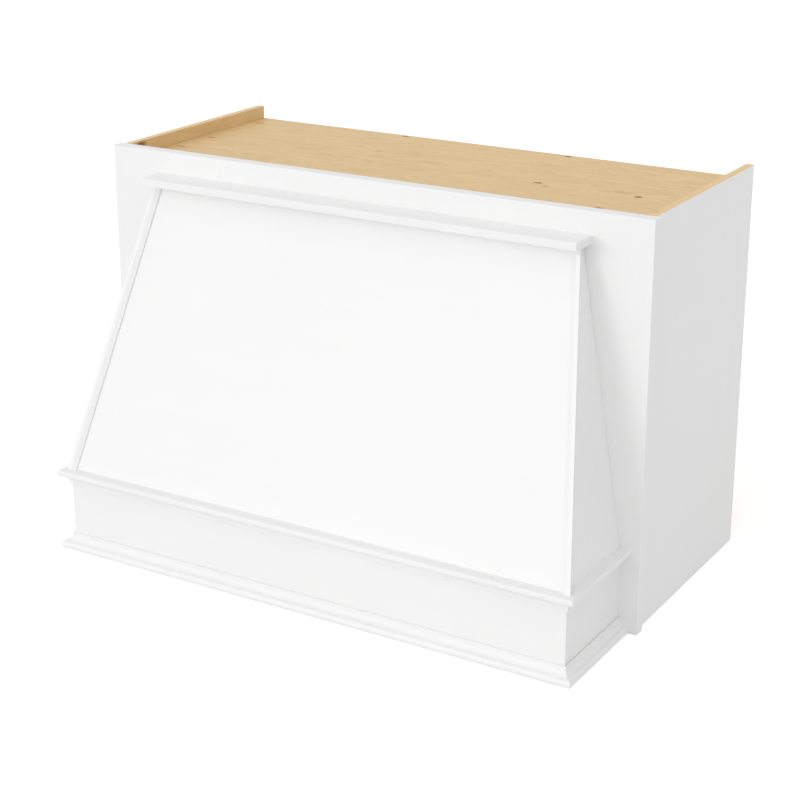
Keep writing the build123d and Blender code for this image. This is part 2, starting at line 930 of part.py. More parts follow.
with BuildPart() as right_apron_rail:
    board(
        (apron_inner_side - liner_rail_thickness, apron_rail_front, liner_rail_lift),
        (apron_inner_side, frame_front, liner_rail_top),
    )
    drill(rail_screw_hole, apron_rail_seats)
right_apron_rail.part.label = "right_apron_rail"
export_step(right_apron_rail.part, "parts/right_apron_rail.step")

with BuildPart() as left_apron_rail:
    mirror(right_apron_rail.part, about=Plane.YZ)
left_apron_rail.part.label = "left_apron_rail"
export_step(left_apron_rail.part, "parts/left_apron_rail.step")


# Fasteners

with BuildPart() as frame_pocket_screws:
    with Locations(*both_sides(frame_pocket_seats)):
        add(pocket_screw.part)
frame_pocket_screws.part.label = "frame_pocket_screws"
export_step(frame_pocket_screws.part, "parts/frame_pocket_screws.step")

with BuildPart() as rail_pocket_screws:
    with Locations(*both_sides(rail_pocket_seats)):
        add(pocket_screw.part)
rail_pocket_screws.part.label = "rail_pocket_screws"
export_step(rail_pocket_screws.part, "parts/rail_pocket_screws.step")

with BuildPart() as cheek_screws:
    with Locations(*both_sides(cheek_screw_seats)):
        add(frame_screw.part)
cheek_screws.part.label = "cheek_screws"
export_step(cheek_screws.part, "parts/cheek_screws.step")

with BuildPart() as apron_screws:
    with Locations(*both_sides(apron_screw_seats)):
        add(frame_screw.part)
apron_screws.part.label = "apron_screws"
export_step(apron_screws.part, "parts/apron_screws.step")

with BuildPart() as cap_screws:
    with Locations(*cap_screw_seats):
        add(cap_screw.part)
cap_screws.part.label = "cap_screws"
export_step(cap_screws.part, "parts/cap_screws.step")

with BuildPart() as liner_rail_screws:
    with Locations(*both_sides(side_rail_seats + apron_rail_seats), *front_rail_seats):
        add(rail_screw.part)
liner_rail_screws.part.label = "liner_rail_screws"
export_step(liner_rail_screws.part, "parts/liner_rail_screws.step")

with BuildPart() as corner_block_screws:
    with Locations(*both_sides(block_seats)):
        add(block_screw.part)
corner_block_screws.part.label = "corner_block_screws"
export_step(corner_block_screws.part, "parts/corner_block_screws.step")

with BuildPart() as top_panel_staples:
    with Locations(*both_sides(side_staple_seats + back_staple_seats)):
        add(wire_staple.part)
top_panel_staples.part.label = "top_panel_staples"
export_step(top_panel_staples.part, "parts/top_panel_staples.step")
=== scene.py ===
"""Dresses a wall-hung wooden range hood cover in white paint and bare maple."""

from math import cos, radians, sin

import bmesh
import bpy
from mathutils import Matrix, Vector


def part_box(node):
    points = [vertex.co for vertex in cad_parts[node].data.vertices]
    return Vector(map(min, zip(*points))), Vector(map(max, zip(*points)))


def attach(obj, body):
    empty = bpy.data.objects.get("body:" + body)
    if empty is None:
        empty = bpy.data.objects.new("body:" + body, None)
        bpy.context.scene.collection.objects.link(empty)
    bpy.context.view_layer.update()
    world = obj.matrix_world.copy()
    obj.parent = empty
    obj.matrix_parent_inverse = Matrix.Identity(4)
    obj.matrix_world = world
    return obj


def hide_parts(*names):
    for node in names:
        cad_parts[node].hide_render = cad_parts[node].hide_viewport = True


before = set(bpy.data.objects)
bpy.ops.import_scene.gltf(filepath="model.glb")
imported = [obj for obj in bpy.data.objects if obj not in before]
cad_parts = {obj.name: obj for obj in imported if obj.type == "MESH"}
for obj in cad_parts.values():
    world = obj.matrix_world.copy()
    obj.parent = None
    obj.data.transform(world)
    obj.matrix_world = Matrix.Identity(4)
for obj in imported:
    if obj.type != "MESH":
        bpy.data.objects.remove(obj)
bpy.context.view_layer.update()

bl_info = {
    "name": "Wooden Range Hood Cover",
    "version": (1, 0, 0),
    "blender": (4, 5, 0),
    "location": "View3D > Sidebar > Hood Cover",
    "description": "Dresses a wall-hung wooden range hood cover in paint and bare maple",
    "category": "Object",
}

# Each side, and the sign of the X axis outwards from it
OUTWARDS = {"left": -1, "right": 1}


def both_sides(*parts):
    """The left and the right node of each part."""
    return [f"{side}_{part}" for part in parts for side in OUTWARDS]


# The boards, by the axis that their grain follows or the direction of their inner face
FRAME_BOARDS = {"left_stile": "z", "right_stile": "z", "top_rail": "x"}
APRON_INNER_FACES = {"apron_front": (0, 1, 0), "apron_left": (1, 0, 0), "apron_right": (-1, 0, 0)}
INSIDE_BOARDS = {
    "x": [
        "upper_hanging_rail",
        "lower_hanging_rail",
        "front_top_cleat",
        "head_cleat",
        "front_base_cleat",
        "front_liner_rail",
    ],
    "y": both_sides("top_cleat", "base_cleat", "liner_rail", "apron_rail"),
    "z": both_sides("corner_block", "stile_block", "cheek_cleat", "panel_cleat"),
}
MOULDINGS = [
    f"{level}_moulding_{run}" for level in ("bottom", "mid") for run in ("front", *OUTWARDS)
]
ZINC_SCREWS = (
    "cheek_screws",
    "apron_screws",
    "cap_screws",
    "liner_rail_screws",
    "corner_block_screws",
)
BLACK_SCREWS = ("frame_pocket_screws", "rail_pocket_screws")

# Lengths in metres
WELD = 2e-6  # corners closer than this are one corner
TOUCH = 1e-4  # corners closer than this to a plane lie on it
SHORTEST_ROUNDED = 0.014  # shorter edges stay sharp
LONG_EDGE = 0.3  # edges along the whole height or depth of a board are longer
INSIDE_ARRIS = 0.0005
LIP_LIFT = 0.0017
SIDE_JOINT = 0.0014  # easing of an edge that shows as a fine joint line, seen from the side
FRONT_JOINT = 0.0006  # and seen from the front
FLOOR_GAP = 0.0006

# Angles
FLAT = radians(0.6)  # faces that meet at less are one face
ROUNDED_TURN = radians(20)  # edges that turn by less aren't rounded
CREASE = radians(34)  # edges that turn by more show as edges
LIP_TURN = (radians(50), radians(65))

# How far a face looks in a direction: 1 is squarely, and -1 is the opposite way
SQUARE_ON = 0.8
ALL_BUT_OPPOSITE = -0.6

# Pocket holes in the side panels, seen on their inner faces, with painted shade darkening their
# bores
POCKET_Y = -0.338
POCKET_HEIGHTS = (0.012, 0.1598, 0.3075, 0.4553, 0.603)
POCKET_SHADE = (0.026, 0.012, 0.8)

# Marks on the top panel's face: (x, y), and (length, width, darkness)
KNOTS = (
    ((0.189, -0.192), (0.014, 0.008, 1.0)),
    ((0.207, -0.207), (0.010, 0.007, 0.45)),
    ((0.352, -0.198), (0.011, 0.010, 1.0)),
    ((0.320, -0.184), (0.026, 0.015, 0.22)),
    ((0.298, -0.192), (0.018, 0.010, 0.16)),
    ((0.330, -0.285), (0.016, 0.010, 0.65)),
    ((0.009, -0.030), (0.016, 0.008, 0.22)),
    ((-0.175, -0.110), (0.016, 0.010, 0.16)),
    ((-0.126, -0.130), (0.020, 0.010, 0.14)),
)
# Staples in the top panel, with painted shade round each sunk crown: x, ys, and (length, width,
# darkness) of the shade
SIDE_STAPLE_X = 0.4191
SIDE_STAPLE_YS = (-0.042, -0.178, -0.259)
SIDE_STAPLE_SHADE = (0.019, 0.005, 0.6)
BACK_STAPLE_X = 0.149
BACK_STAPLE_Y = -0.008
BACK_STAPLE_SHADE = (0.011, 0.008, 0.95)

# A sun lights by its direction alone, so this is only where its symbol stands
KEY_PLACE = (-1.4, -3.0, 2.4)
CAMERA_SENSOR = 36
CAMERA_CLIP = (0.05, 60)


class HoodPaintSettings(bpy.types.PropertyGroup):
    """The white satin paint on every outside face."""

    colour: bpy.props.FloatVectorProperty(
        name="Paint colour",
        description="Colour of the paint where the coat is full",
        subtype="COLOR",
        size=3,
        min=0,
        max=1,
        default=(0.9, 0.9, 0.897),
    )
    roughness: bpy.props.FloatProperty(
        name="Sheen roughness",
        description="Roughness of the satin coat",
        subtype="FACTOR",
        min=0,
        max=1,
        default=0.42,
    )
    peel_size: bpy.props.FloatProperty(
        name="Spray texture",
        description="Size of one dimple of the sprayed coat",
        subtype="DISTANCE",
        unit="LENGTH",
        default=0.0016,
    )
    arris: bpy.props.FloatProperty(
        name="Rounded edge",
        description="Radius sanded on the edges of the boards",
        subtype="DISTANCE",
        unit="LENGTH",
        default=0.0007,
    )


class HoodMapleSettings(bpy.types.PropertyGroup):
    """The clear-finished maple of the top panel and the inside."""

    light: bpy.props.FloatVectorProperty(
        name="Light wood",
        description="Colour of the pale growth",
        subtype="COLOR",
        size=3,
        min=0,
        max=1,
        default=(0.88, 0.65, 0.351),
    )
    dark: bpy.props.FloatVectorProperty(
        name="Dark wood",
        description="Colour of the dark growth and the fibres",
        subtype="COLOR",
        size=3,
        min=0,
        max=1,
        default=(0.736, 0.497, 0.227),
    )
    # Also the colour of the painted shade in the pocket holes and round the sunk staples
    knot_and_shade: bpy.props.FloatVectorProperty(
        name="Knots",
        description="Colour of the pin knots and gum marks",
        subtype="COLOR",
        size=3,
        min=0,
        max=1,
        default=(0.27, 0.11, 0.035),
    )
    roughness: bpy.props.FloatProperty(
        name="Roughness",
        description="Roughness of the matt clear coat",
        subtype="FACTOR",
        min=0,
        max=1,
        default=0.5,
    )


class HoodSteelSettings(bpy.types.PropertyGroup):
    """Screws and staples."""

    colour: bpy.props.FloatVectorProperty(
        name="Zinc colour",
        description="Colour of the plated screws",
        subtype="COLOR",
        size=3,
        min=0,
        max=1,
        default=(0.62, 0.61, 0.58),
    )
    oxide_colour: bpy.props.FloatVectorProperty(
        name="Oxide colour",
        description="Colour of the blackened pocket screws",
        subtype="COLOR",
        size=3,
        min=0,
        max=1,
        default=(0.06, 0.055, 0.05),
    )
    # Steel staple wire, darkened nearly to black as painted shade of the sunk crowns
    staple_shade_colour: bpy.props.FloatVectorProperty(
        name="Staple colour",
        description="Colour of the dull staple wire",
        subtype="COLOR",
        size=3,
        min=0,
        max=1,
        default=(0.1, 0.085, 0.07),
    )


class HoodStageSettings(bpy.types.PropertyGroup):
    """Floor, light and camera."""

    floor_size: bpy.props.FloatProperty(
        name="Floor size",
        description="Side of the square floor",
        subtype="DISTANCE",
        unit="LENGTH",
        default=30.0,
    )
    floor_glow: bpy.props.FloatProperty(
        name="Floor glow",
        description="What is added to the floor's own brightness where it is seen or mirrored",
        default=0.47,
    )
    room_light: bpy.props.FloatProperty(
        name="Room light",
        description="Brightness of the even light from all round",
        default=0.812,
    )
    front_light: bpy.props.FloatProperty(
        name="Front light",
        description="How much brighter the room is in front of the object than beside it",
        default=0.274,
    )
    key_light: bpy.props.FloatProperty(
        name="Key light",
        description="Strength of the soft light from the front left",
        default=0.487,
    )
    key_spread: bpy.props.FloatProperty(
        name="Key spread",
        description="Width of the key light as the object sees it",
        subtype="ANGLE",
        unit="ROTATION",
        default=radians(26),
    )
    key_height: bpy.props.FloatProperty(
        name="Key height",
        description="Angle of the key light above the horizon",
        subtype="ANGLE",
        unit="ROTATION",
        default=radians(12),
    )
    key_turn: bpy.props.FloatProperty(
        name="Key turn",
        description="Angle of the key light to the left of the room's middle",
        subtype="ANGLE",
        unit="ROTATION",
        default=radians(25),
    )
    camera_place: bpy.props.FloatVectorProperty(
        name="Camera",
        description="Where the camera stands",
        subtype="TRANSLATION",
        unit="LENGTH",
        size=3,
        default=(1.373, -2.566, 1.213),
    )
    camera_turn: bpy.props.FloatVectorProperty(
        name="Camera turn",
        description="Angles of the camera: up from straight down, roll, and to the left",
        subtype="EULER",
        unit="ROTATION",
        size=3,
        default=(radians(90 - 18.72), 0, radians(31.02)),
    )
    camera_lens: bpy.props.FloatProperty(
        name="Lens",
        description="Focal length in millimetres on a 36 mm frame",
        default=83.0,
    )
    camera_shift: bpy.props.FloatProperty(
        name="Lens shift",
        description="Upward shift of the picture as a share of its width",
        default=-0.05,
    )


# Finishes


class Wiring:
    """Makes and links the nodes of one node tree."""

    def __init__(self, tree):
        self.tree = tree

    def node(self, kind):
        return self.tree.nodes.new(f"ShaderNode{kind}")

    def feed(self, socket, value):
        """Link a socket to an output, or set it to a plain value."""
        if isinstance(value, bpy.types.NodeSocket):
            self.tree.links.new(value, socket)
        else:
            socket.default_value = value

    def math(self, operation, first, second=0.0):
        node = self.node("Math")
        node.operation = operation
        self.feed(node.inputs[0], first)
        self.feed(node.inputs[1], second)
        return node.outputs["Value"]

    def vector_math(self, operation, first, second, output="Vector"):
        node = self.node("VectorMath")
        node.operation = operation
        self.feed(node.inputs[0], first)
        self.feed(node.inputs[1], second)
        return node.outputs[output]

    def spread(self, value, low, high, start=0.0, end=1.0, smooth=False):
        """Map the values from low to high onto those from start to end."""
        node = self.node("MapRange")
        node.interpolation_type = "SMOOTHSTEP" if smooth else "LINEAR"
        self.feed(node.inputs["Value"], value)
        self.feed(node.inputs["From Min"], low)
        self.feed(node.inputs["From Max"], high)
        self.feed(node.inputs["To Min"], start)
        self.feed(node.inputs["To Max"], end)
        return node.outputs["Result"]

    def seen_directly(self):
        """1 for rays that show the surface itself or mirror it, and 0 for light."""
        rays = self.node("LightPath").outputs
        seen = rays["Is Camera Ray"]
        for name in ("Is Glossy Ray", "Is Transmission Ray"):
            seen = self.math("MAXIMUM", seen, rays[name])
        return seen


class Finish(Wiring):
    """A material built on one Principled shader and the object's own coordinates.

    axis is the way that its grain or its draw marks run.
    """

    def __init__(self, name, axis="z"):
        self.material = bpy.data.materials.new(name)
        self.material.use_nodes = True
        super().__init__(self.material.node_tree)
        self.tree.nodes.clear()
        self.axis = axis
        self.output = self.node("OutputMaterial")
        self.shader = self.node("BsdfPrincipled")
        self.feed(self.output.inputs["Surface"], self.shader.outputs["BSDF"])
        self.place = self.node("TexCoord").outputs["Object"]

    def noise(self, vector, scale=1.0, detail=2.0, roughness=0.5, distortion=0.0):
        node = self.node("TexNoise")
        self.feed(node.inputs["Vector"], vector)
        self.feed(node.inputs["Scale"], scale)
        self.feed(node.inputs["Detail"], detail)
        self.feed(node.inputs["Roughness"], roughness)
        self.feed(node.inputs["Distortion"], distortion)
        return node.outputs["Fac"]

    def marking(self, long, across, shift=(0, 0, 0), source=None, **kind):
        """Noise of one scale along the grain and another across it."""
        stretched = self.node("Mapping")
        self.feed(stretched.inputs["Vector"], source or self.place)
        self.feed(stretched.inputs["Location"], shift)
        self.feed(stretched.inputs["Scale"], along(self.axis, long, across))
        return self.noise(stretched.outputs["Vector"], **kind)

    def blend(self, factor, first, second):
        """Mix two colours."""
        node = self.node("Mix")
        node.data_type = "RGBA"
        self.feed(node.inputs["Factor"], factor)
        self.feed(node.inputs[6], first)
        self.feed(node.inputs[7], second)
        return node.outputs[2]

    def bump(self, height, depth, strength, normal=None):
        """A surface normal for relief of that depth, over another relief if one is given."""
        node = self.node("Bump")
        self.feed(node.inputs["Distance"], depth)
        self.feed(node.inputs["Strength"], strength)
        self.feed(node.inputs["Height"], height)
        if normal is not None:
            self.feed(node.inputs["Normal"], normal)
        return node.outputs["Normal"]

    def set(self, **values):
        """Feed the shader's sockets, whose names are written with _ for a space."""
        for name, value in values.items():
            self.feed(self.shader.inputs[name.replace("_", " ")], value)


def along(axis, long, across):
    """A vector that is `long` along an axis and `across` on the other two."""
    return tuple(long if letter == axis else across for letter in "xyz")


def rgba(colour, shade=1.0):
    return tuple(channel * shade for channel in colour) + (1.0,)


def white_paint(axis):
    """Sprayed satin paint on maple; the grain shows faintly through it along one axis."""
    paint = bpy.context.scene.hood_paint
    coat = Finish(f"white_paint_{axis}", axis)
    peel = coat.noise(coat.place, 1 / paint.peel_size, detail=1.5, roughness=0.4)
    fibres = coat.marking(14, 700, detail=3, roughness=0.6)
    bands = coat.marking(2.2, 60)
    haze = coat.noise(coat.place, 5.0, detail=3)
    shade = coat.spread(coat.math("ADD", haze, coat.math("MULTIPLY", bands, 0.35)), 0.45, 0.9)
    relief = coat.math("ADD", fibres, coat.math("MULTIPLY", bands, 1.5))
    coat.set(
        Base_Color=coat.blend(shade, rgba(paint.colour, 0.985), rgba(paint.colour, 1.008)),
        Roughness=coat.spread(haze, 0.3, 0.7, paint.roughness - 0.03, paint.roughness + 0.04),
        Normal=coat.bump(relief, 0.00003, 0.45, coat.bump(peel, 0.00003, 0.5)),
        Specular_IOR_Level=0.42,
        Coat_Weight=0.08,
        Coat_Roughness=0.3,
    )
    return coat.material


def dark_marks(board, marks):
    """How dark each point is under (place, length, width, darkness) of marks."""
    ragged = board.spread(board.noise(board.place, 260), 0.2, 0.8, -0.3, 0.3)
    darkest = 0.0
    for place, length, width, darkness in marks:
        away = board.vector_math("SUBTRACT", board.place, place)
        away = board.vector_math("MULTIPLY", away, along(board.axis, 2 / length, 2 / width))
        radius = board.vector_math("LENGTH", away, (0, 0, 0), "Value")
        radius = board.math("ADD", radius, ragged)
        dark = board.spread(radius, 0.45, 1.5, darkness, 0.0, smooth=True)
        darkest = board.math("MAXIMUM", darkest, dark)
    return darkest


def show_plies(board, colour, fibres, axis, lowest, thickness):
    """Line the five layers on the edges of plywood that is thin along an axis."""
    wood = bpy.context.scene.hood_maple
    place = board.node("SeparateXYZ")
    board.feed(place.inputs[0], board.place)
    depth = board.math("SUBTRACT", place.outputs[axis.upper()], lowest)
    layer = board.math("MULTIPLY", board.math("DIVIDE", depth, thickness), 5.0)
    line = board.math("PINGPONG", board.math("ADD", layer, 0.5), 0.5)
    line = board.spread(line, 0.38, 0.5, 0.0, 0.3, smooth=True)
    normal = board.node("NewGeometry").outputs["Normal"]
    facing = board.vector_math("DOT_PRODUCT", normal, along(axis, 1, 0), "Value")
    edge = board.spread(board.math("ABSOLUTE", facing), 0.3, 0.6, 1.0, 0.0)
    pale = board.blend(fibres, rgba(wood.light, 1.06), rgba(wood.dark, 1.12))
    colour = board.blend(edge, colour, pale)
    return board.blend(board.math("MULTIPLY", line, edge), colour, rgba(wood.dark, 0.7))


def maple(name, axis, marks=(), plies=None, shade=1.0):
    """Clear-coated maple with its grain along one axis.

    marks are (place, length, width, darkness) of pin knots and gum marks, and of
    painted shade in pocket holes and round sunk staples, in metres, with their
    length along the grain.
    plies is (axis, lowest, thickness) of a plywood edge, whose layers are lined.
    """
    wood = bpy.context.scene.hood_maple
    board = Finish(name, axis)

    # The rings and fibres wander sideways, by a long bend and a short swirl.
    bend = board.spread(board.marking(2.0, 5.0), 0.2, 0.8, -0.03, 0.03)
    swirl = board.marking(10, 16, (4, 6, 1), detail=1)
    swirl = board.spread(swirl, 0.2, 0.8, -0.014, 0.014)
    sideways = board.math("ADD", bend, swirl)
    offset = board.node("CombineXYZ")
    for socket, letter in zip(offset.inputs, "xyz"):
        if letter != axis:
            board.feed(socket, sideways)
    wandering = board.vector_math("ADD", board.place, offset.outputs["Vector"])

    # Each growth ring darkens slowly and ends at once.
    figure = board.marking(1.0, 14, source=wandering, detail=1, distortion=0.5)
    season = board.math("FRACT", board.math("MULTIPLY", figure, 9.0))
    rings = board.spread(season, 0.25, 0.93, smooth=True)
    rings = board.math("MULTIPLY", rings, board.spread(season, 0.93, 1.0, 1.0, 0.0))
    fibres = board.marking(9, 420, source=wandering, detail=4, roughness=0.65)

    tone = board.math("SUBTRACT", board.math("MULTIPLY", rings, 0.24), 0.08)
    curl = board.marking(230, 330, (1, 9, 4))
    mottle = board.marking(70, 140, detail=3, roughness=0.6, distortion=0.6)
    cloud = board.marking(21, 46, (7, 2, 5), distortion=0.8)
    broad = board.marking(1.6, 7, (3, 1, 2))
    shares = ((fibres, 0.13), (curl, 0.22), (mottle, 0.29), (cloud, 0.27), (broad, 0.18))
    for marking, share in shares:
        seen = board.math("MULTIPLY", board.spread(marking, 0.28, 0.72), share)
        tone = board.math("ADD", tone, seen)
    colour = board.blend(tone, rgba(wood.light, shade), rgba(wood.dark, shade))
    flecks = board.spread(board.marking(110, 1500), 0.64, 0.74, 0.0, 0.3)
    colour = board.blend(flecks, colour, rgba(wood.dark, 0.66))
    if plies:
        colour = show_plies(board, colour, fibres, *plies)
    if marks:
        # Knots and gum marks take the knot colour, and so does the painted shade in pocket holes
        # and round sunk staples
        colour = board.blend(dark_marks(board, marks), colour, rgba(wood.knot_and_shade))

    relief = board.math("ADD", fibres, board.math("MULTIPLY", flecks, -1.5))
    board.set(
        Base_Color=colour,
        Roughness=board.spread(fibres, 0.3, 0.7, wood.roughness - 0.06, wood.roughness + 0.08),
        Normal=board.bump(relief, 0.00006, 0.5),
        Specular_IOR_Level=0.35,
    )
    return board.material


def steel(name, colour, roughness):
    """Plated steel with fine draw marks and a few dull spots."""
    metal = Finish(name)
    draw = metal.marking(200, 900, detail=3)
    spots = metal.noise(metal.place, 420)
    shade = metal.spread(metal.math("ADD", draw, spots), 0.7, 1.3)
    metal.set(
        Base_Color=metal.blend(shade, rgba(colour, 0.8), rgba(colour, 1.15)),
        Roughness=metal.spread(spots, 0.3, 0.7, roughness - 0.08, roughness + 0.12),
        Normal=metal.bump(draw, 0.00002, 0.4),
        Metallic=1.0,
    )
    return metal.material


def painted(axis):
    """The paint over grain along an axis, made once."""
    return bpy.data.materials.get(f"white_paint_{axis}") or white_paint(axis)


def bare(axis):
    """The bare maple with grain along an axis, made once."""
    return bpy.data.materials.get(f"maple_{axis}") or maple(f"maple_{axis}", axis)


# Pieces


def bare_towards(direction, least=SQUARE_ON):
    """Give finish 1 to the faces that look in a direction, and finish 0 to the others."""
    direction = Vector(direction)
    return lambda normal: 1 if normal.dot(direction) > least else 0


def is_long(start, end):
    return (start - end).length > LONG_EDGE


def raise_lip(shape):
    """Lift a trim's inner edge off the canopy, for the fine line beside it."""
    least, most = LIP_TURN
    for edge in shape.edges:
        lip = edge.is_manifold and least < edge.calc_face_angle() < most
        if lip and edge.calc_length() > LONG_EDGE:
            bmesh.ops.translate(shape, verts=edge.verts, vec=(0, -LIP_LIFT, 0))


def dressed(node, finishes, arris=0.0, chosen=None, facing=None, segments=3, trim=None):
    """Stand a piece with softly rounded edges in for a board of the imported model.

    trim reshapes the clean copy before its edges are rounded, chosen picks the edges to
    round by their two ends, and facing gives the number of the finish that a face takes
    from its outward direction.
    """
    shape = bmesh.new()
    shape.from_mesh(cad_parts[node].data)
    bmesh.ops.remove_doubles(shape, verts=shape.verts, dist=WELD)
    bmesh.ops.dissolve_limit(shape, angle_limit=FLAT, verts=shape.verts, edges=shape.edges)
    if trim:
        trim(shape)
    if arris:
        rounded = [
            edge
            for edge in shape.edges
            if edge.is_manifold
            and edge.calc_length() > SHORTEST_ROUNDED
            and edge.calc_face_angle() > ROUNDED_TURN
            and (chosen is None or chosen(*(corner.co for corner in edge.verts)))
        ]
        bmesh.ops.bevel(
            shape,
            geom=rounded,
            offset=arris,
            offset_type="OFFSET",
            segments=segments,
            profile=0.5,
            affect="EDGES",
            material=-1,
        )
    shape.normal_update()
    for edge in shape.edges:
        edge.smooth = edge.is_manifold and edge.calc_face_angle() < CREASE
    for face in shape.faces:
        face.smooth = True
        if facing:
            face.material_index = facing(face.normal)
    mesh = bpy.data.meshes.new(f"{node}_dressed")
    shape.to_mesh(mesh)
    shape.free()
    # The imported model's own normals don't fit the new faces.
    mesh.attributes.remove(mesh.attributes["custom_normal"])
    piece = bpy.data.objects.new(f"{node}_dressed", mesh)
    bpy.context.scene.collection.objects.link(piece)
    for finish in finishes:
        mesh.materials.append(finish)
    weighted = piece.modifiers.new("even_flats", "WEIGHTED_NORMAL")
    weighted.keep_sharp = True
    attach(piece, "root")
    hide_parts(node)


def coat_node(node, finish):
    """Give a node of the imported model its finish."""
    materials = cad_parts[node].data.materials
    materials.clear()
    materials.append(finish)


class HOOD_OT_face_frame(bpy.types.Operator):
    """Paint the stiles and the top rail, and round the frame's outside edges"""

    bl_idname = "hood.face_frame"
    bl_label = "Face Frame"

    def execute(self, context):
        low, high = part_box("top_rail")

        def outside(start, end):
            """An edge of the front that isn't one of the joints beside the top rail."""
            ends = (start, end)
            at_joint = all(abs(abs(corner.x) - high.x) < TOUCH for corner in ends)
            behind = all(corner.y > low.y + TOUCH for corner in ends)
            return not at_joint and not behind

        for node, axis in FRAME_BOARDS.items():
            arris = context.scene.hood_paint.arris
            dressed(node, [painted(axis)], arris, outside)
        return {"FINISHED"}


class HOOD_OT_side_panels(bpy.types.Operator):
    """Paint the outer face of each side panel and leave its inside and edges bare maple"""

    bl_idname = "hood.side_panels"
    bl_label = "Side Panels"

    def execute(self, context):
        for side, sign in OUTWARDS.items():
            low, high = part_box(f"{side}_side_panel")
            inner = high.x if sign < 0 else low.x
            # Painted shade in the bores of the pocket holes, in the knot colour
            pocket_shades = [((inner, POCKET_Y, height), *POCKET_SHADE) for height in POCKET_HEIGHTS]
            plies = ("x", low.x, high.x - low.x)
            veneer = maple(f"{side}_side_veneer", "y", pocket_shades, plies, shade=0.94)
            dressed(
                f"{side}_side_panel",
                [painted("z"), veneer],
                context.scene.hood_paint.arris * 0.6,
                is_long,
                bare_towards((-sign, 0, 0), ALL_BUT_OPPOSITE),
                segments=2,
            )
        return {"FINISHED"}


class HOOD_OT_top_panel(bpy.types.Operator):
    """Give the top panel its maple face, with pin knots and gum marks where they lie"""

    bl_idname = "hood.top_panel"
    bl_label = "Top Panel"

    def execute(self, context):
        low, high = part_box("top_panel")
        marks = [((x, y, high.z), *mark) for (x, y), mark in KNOTS]
        # Painted shade round each sunk staple
        for y in SIDE_STAPLE_YS:
            for x in (-SIDE_STAPLE_X, SIDE_STAPLE_X):
                marks.append(((x, y, high.z), *SIDE_STAPLE_SHADE))
        for x in (-BACK_STAPLE_X, BACK_STAPLE_X):
            marks.append(((x, BACK_STAPLE_Y, high.z), *BACK_STAPLE_SHADE))
        finish = maple("top_panel_veneer", "x", marks, ("z", low.z, high.z - low.z))
        dressed("top_panel", [finish])
        return {"FINISHED"}


class HOOD_OT_inside_wood(bpy.types.Operator):
    """Round and finish the hanging rails, cleats, blocks and liner rails"""

    bl_idname = "hood.inside_wood"
    bl_label = "Rails and Cleats"

    def execute(self, context):
        for axis, nodes in INSIDE_BOARDS.items():
            for node in nodes:
                dressed(node, [bare(axis)], INSIDE_ARRIS, segments=2)
        return {"FINISHED"}


class HOOD_OT_apron(bpy.types.Operator):
    """Paint the apron outside and leave it bare inside"""

    bl_idname = "hood.apron"
    bl_label = "Apron"

    def execute(self, context):
        for node, inward in APRON_INNER_FACES.items():
            axis = "x" if node == "apron_front" else "y"
            finishes = [painted(axis), bare(axis)]
            dressed(node, finishes, facing=bare_towards(inward))
        return {"FINISHED"}


class HOOD_OT_canopy(bpy.types.Operator):
    """Paint the sloping panel and the cheeks outside and leave them bare inside"""

    bl_idname = "hood.canopy"
    bl_label = "Canopy"

    def execute(self, context):
        finishes = [painted("x"), bare("x")]
        dressed("canopy_panel", finishes, facing=bare_towards((0, 1, 0)))
        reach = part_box("right_cheek")[1]

        def against_stile(start, end):
            """A cheek's outer back edge, eased so that a fine joint line shows."""
            behind = min(start.y, end.y) > reach.y - TOUCH
            outside = max(abs(start.x), abs(end.x)) > reach.x - TOUCH
            return behind and outside and abs(start.z - end.z) > LONG_EDGE

        for side, sign in OUTWARDS.items():
            dressed(
                f"{side}_cheek",
                [painted("z"), bare("z")],
                SIDE_JOINT,
                against_stile,
                bare_towards((-sign, 0, 0)),
                segments=1,
            )
        return {"FINISHED"}


class HOOD_OT_trims(bpy.types.Operator):
    """Paint the bevelled trims up the canopy's corners and the cap board over it"""

    bl_idname = "hood.trims"
    bl_label = "Corner Trims and Cap"

    def execute(self, context):
        arris = context.scene.hood_paint.arris * 0.45
        for node in both_sides("corner_trim"):
            dressed(node, [painted("z")], arris, is_long, trim=raise_lip)
        dressed("cap_board", [painted("x")])
        return {"FINISHED"}


class HOOD_OT_mouldings(bpy.types.Operator):
    """Paint both runs of moulding round the apron"""

    bl_idname = "hood.mouldings"
    bl_label = "Mouldings"

    def execute(self, context):
        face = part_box("apron_front")[0]
        for node in MOULDINGS:
            front = node.endswith("front")
            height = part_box(node)[1].z

            def against_board(start, end):
                """The bottom run's upper edge, eased so that a fine joint line shows."""
                if front:
                    gaps = [corner.y - face.y for corner in (start, end)]
                else:
                    gaps = [abs(corner.x) + face.x for corner in (start, end)]
                touches = all(abs(gap) < TOUCH for gap in gaps)
                return touches and min(start.z, end.z) > height - TOUCH

            easing = 0.0
            if node.startswith("bottom"):
                easing = FRONT_JOINT if front else SIDE_JOINT
            finish = painted("x" if front else "y")
            dressed(node, [finish], easing, against_board, segments=1)
        return {"FINISHED"}


class HOOD_OT_fasteners(bpy.types.Operator):
    """Finish the screws and the staples"""

    bl_idname = "hood.fasteners"
    bl_label = "Screws and Staples"

    def execute(self, context):
        settings = context.scene.hood_steel
        zinc = steel("zinc_steel", settings.colour, 0.38)
        for node in ZINC_SCREWS:
            coat_node(node, zinc)
        black = steel("black_oxide_steel", settings.oxide_colour, 0.5)
        for node in BLACK_SCREWS:
            coat_node(node, black)
        # The staples are steel wire, darkened as painted shade of their sunk crowns
        coat_node("top_panel_staples", steel("staple_wire", settings.staple_shade_colour, 0.55))
        return {"FINISHED"}


